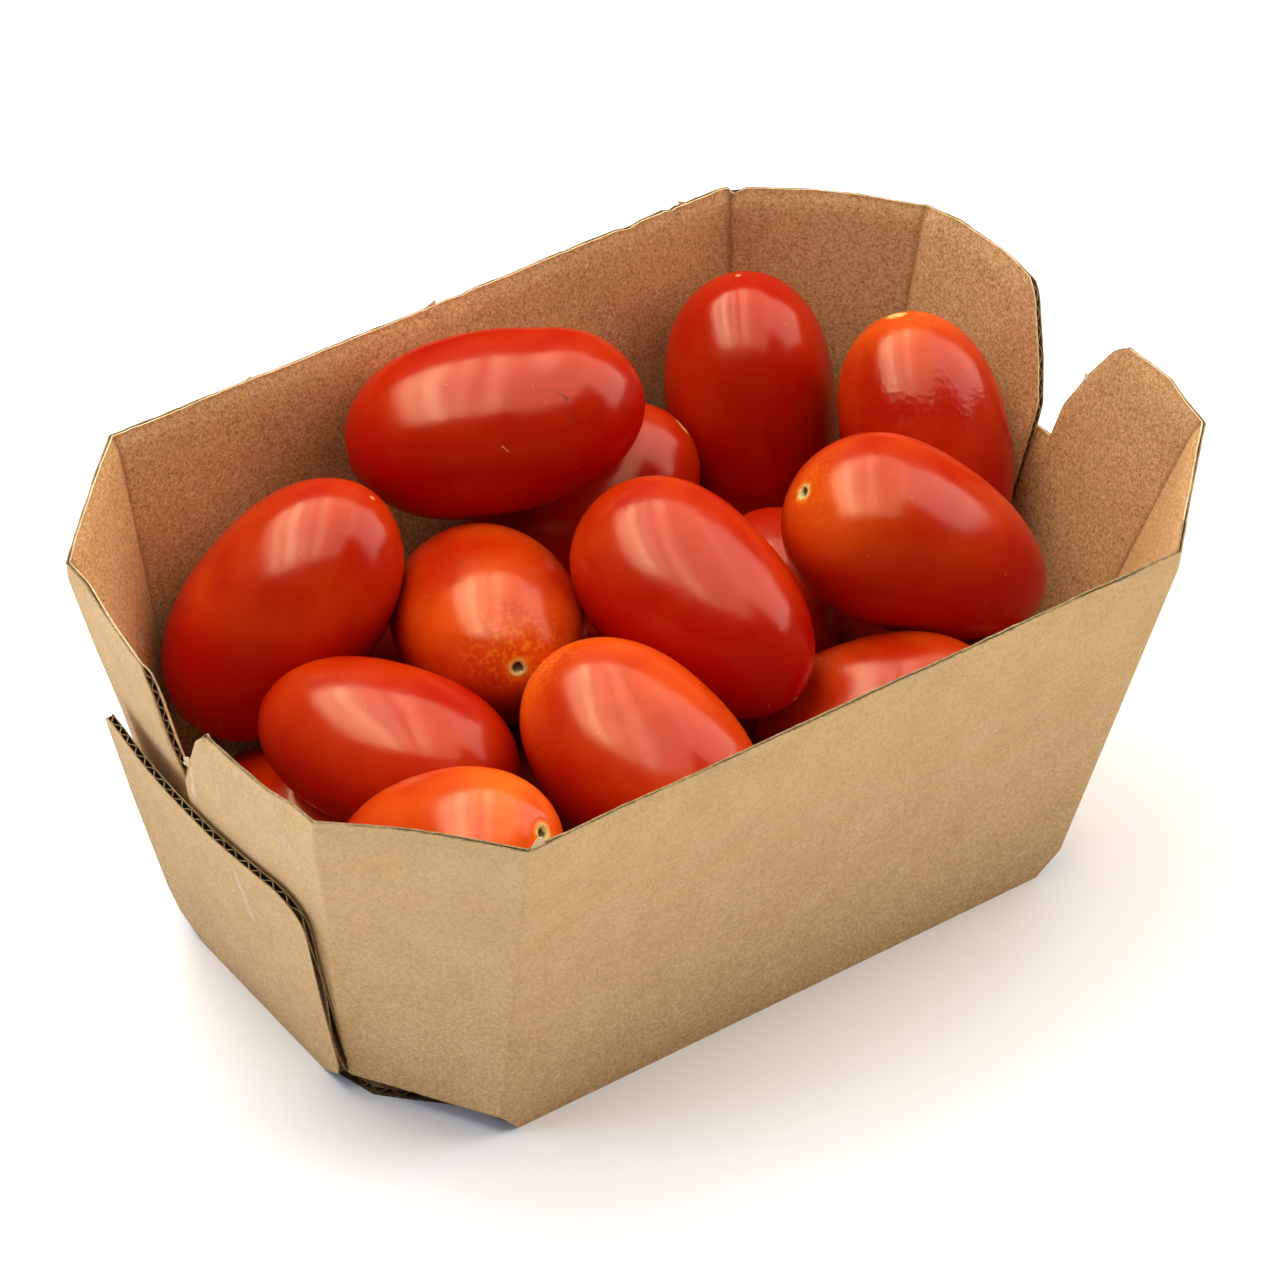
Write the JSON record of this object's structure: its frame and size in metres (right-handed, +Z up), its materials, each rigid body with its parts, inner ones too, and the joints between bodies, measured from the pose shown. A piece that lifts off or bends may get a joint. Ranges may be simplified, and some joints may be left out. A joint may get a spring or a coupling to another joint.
{
  "type": "punnet of cherry tomatoes",
  "caption": "Open corrugated card punnet folded from one blank, filled with a heap of small plum-shaped cherry tomatoes",
  "frame": {"origin": "middle of the underside of the base, on the surface that the punnet stands on", "axes": "+X along the long sides, +Y from the near side to the far side, +Z up"},
  "size_m": [0.1441, 0.0938, 0.0663],
  "materials": {
    "kraft_card": "uncoated brown kraft liner, matt and mottled, paler outside than inside",
    "tomato_skin": "smooth waxy fruit skin, glossy red with orange shoulders at the stem end"
  },
  "bodies": {
    "root": {"punnet": "kraft_card", "tomatoes": "tomato_skin"}
  },
  "joints": []
}
